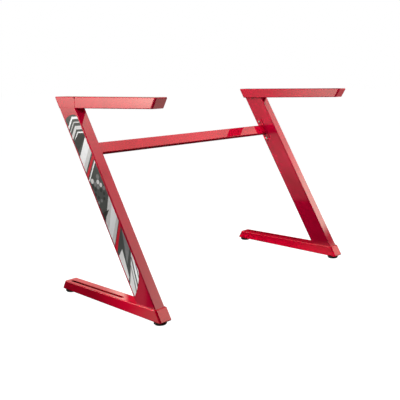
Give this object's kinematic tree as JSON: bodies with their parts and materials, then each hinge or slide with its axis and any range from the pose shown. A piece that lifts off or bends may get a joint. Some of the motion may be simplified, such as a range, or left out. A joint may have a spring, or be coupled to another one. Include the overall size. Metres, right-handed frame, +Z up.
{
  "type": "gaming desk frame",
  "caption": "Z-shaped steel desk frame: slanted columns on tapered feet carry tapered top arms, tied by a tilted cross bar, standing on screw glides, ready for a table top.",
  "frame": {"origin": "on the floor under the middle of the frame's bounding box", "axes": "+X across the desk to the user's right, +Y away from the user towards the wall, +Z up"},
  "size_m": [1.076, 0.561, 0.734],
  "materials": {
    "red_paint": "high-gloss red powder coat on steel",
    "zinc_steel": "bright zinc plating",
    "black_oxide_steel": "black oxide",
    "black_nylon": "moulded black nylon",
    "black_rubber": "matt black rubber",
    "side_film": "printed vinyl film, charcoal, light grey and white"
  },
  "bodies": {
    "frame": {"cross_bar_tube": "red_paint", "cross_bar_left_flange": "red_paint", "cross_bar_left_bolts": "zinc_steel", "cross_bar_left_nuts": "zinc_steel", "left_top_arm": "red_paint", "left_column": "red_paint", "left_foot": "red_paint", "left_column_upper_end_plate": "red_paint", "left_column_lower_end_plate": "red_paint", "left_upper_clamp_plate": "zinc_steel", "left_lower_clamp_plate": "zinc_steel", "left_upper_joint_nuts": "zinc_steel", "left_lower_joint_nuts": "zinc_steel", "left_glide_nuts": "zinc_steel", "left_upper_joint_bolts": "black_oxide_steel", "left_lower_joint_bolts": "black_oxide_steel", "left_side_film": "side_film", "cross_bar_right_flange": "red_paint", "cross_bar_right_bolts": "zinc_steel", "cross_bar_right_nuts": "zinc_steel", "right_top_arm": "red_paint", "right_column": "red_paint", "right_foot": "red_paint", "right_column_upper_end_plate": "red_paint", "right_column_lower_end_plate": "red_paint", "right_upper_clamp_plate": "zinc_steel", "right_lower_clamp_plate": "zinc_steel", "right_upper_joint_nuts": "zinc_steel", "right_lower_joint_nuts": "zinc_steel", "right_glide_nuts": "zinc_steel", "right_upper_joint_bolts": "black_oxide_steel", "right_lower_joint_bolts": "black_oxide_steel", "right_side_film": "side_film"},
    "left_front_glide": {"left_front_glide_pad": "black_nylon", "left_front_glide_sole": "black_rubber"},
    "left_front_stud": {"left_front_glide_stud": "zinc_steel"},
    "left_rear_glide": {"left_rear_glide_pad": "black_nylon", "left_rear_glide_sole": "black_rubber"},
    "left_rear_stud": {"left_rear_glide_stud": "zinc_steel"},
    "right_front_glide": {"right_front_glide_pad": "black_nylon", "right_front_glide_sole": "black_rubber"},
    "right_front_stud": {"right_front_glide_stud": "zinc_steel"},
    "right_rear_glide": {"right_rear_glide_pad": "black_nylon", "right_rear_glide_sole": "black_rubber"},
    "right_rear_stud": {"right_rear_glide_stud": "zinc_steel"}
  },
  "joints": [
    {"name": "left_front_glide_travel", "type": "slide", "parent": "frame", "child": "left_front_glide", "axis": [0, 0, -1], "range_m": [-0.0005, 0.012]},
    {"name": "left_front_stud_turn", "type": "hinge", "parent": "left_front_glide", "child": "left_front_stud", "pos_m": [-0.512, -0.245, 0.02], "axis": [0, 0, -1], "range_deg": [-144, 3456]},
    {"name": "left_rear_glide_travel", "type": "slide", "parent": "frame", "child": "left_rear_glide", "axis": [0, 0, -1], "range_m": [-0.0005, 0.012]},
    {"name": "left_rear_stud_turn", "type": "hinge", "parent": "left_rear_glide", "child": "left_rear_stud", "pos_m": [-0.512, 0.2585, 0.02], "axis": [0, 0, -1], "range_deg": [-144, 3456]},
    {"name": "right_front_glide_travel", "type": "slide", "parent": "frame", "child": "right_front_glide", "axis": [0, 0, -1], "range_m": [-0.0005, 0.012]},
    {"name": "right_front_stud_turn", "type": "hinge", "parent": "right_front_glide", "child": "right_front_stud", "pos_m": [0.512, -0.245, 0.02], "axis": [0, 0, -1], "range_deg": [-144, 3456]},
    {"name": "right_rear_glide_travel", "type": "slide", "parent": "frame", "child": "right_rear_glide", "axis": [0, 0, -1], "range_m": [-0.0005, 0.012]},
    {"name": "right_rear_stud_turn", "type": "hinge", "parent": "right_rear_glide", "child": "right_rear_stud", "pos_m": [0.512, 0.2585, 0.02], "axis": [0, 0, -1], "range_deg": [-144, 3456]}
  ],
  "couplings": [
    {"joint": "left_front_glide_travel", "follows": "left_front_stud_turn", "m_per_rad": 0.00019894},
    {"joint": "left_rear_glide_travel", "follows": "left_rear_stud_turn", "m_per_rad": 0.00019894},
    {"joint": "right_front_glide_travel", "follows": "right_front_stud_turn", "m_per_rad": 0.00019894},
    {"joint": "right_rear_glide_travel", "follows": "right_rear_stud_turn", "m_per_rad": 0.00019894}
  ]
}
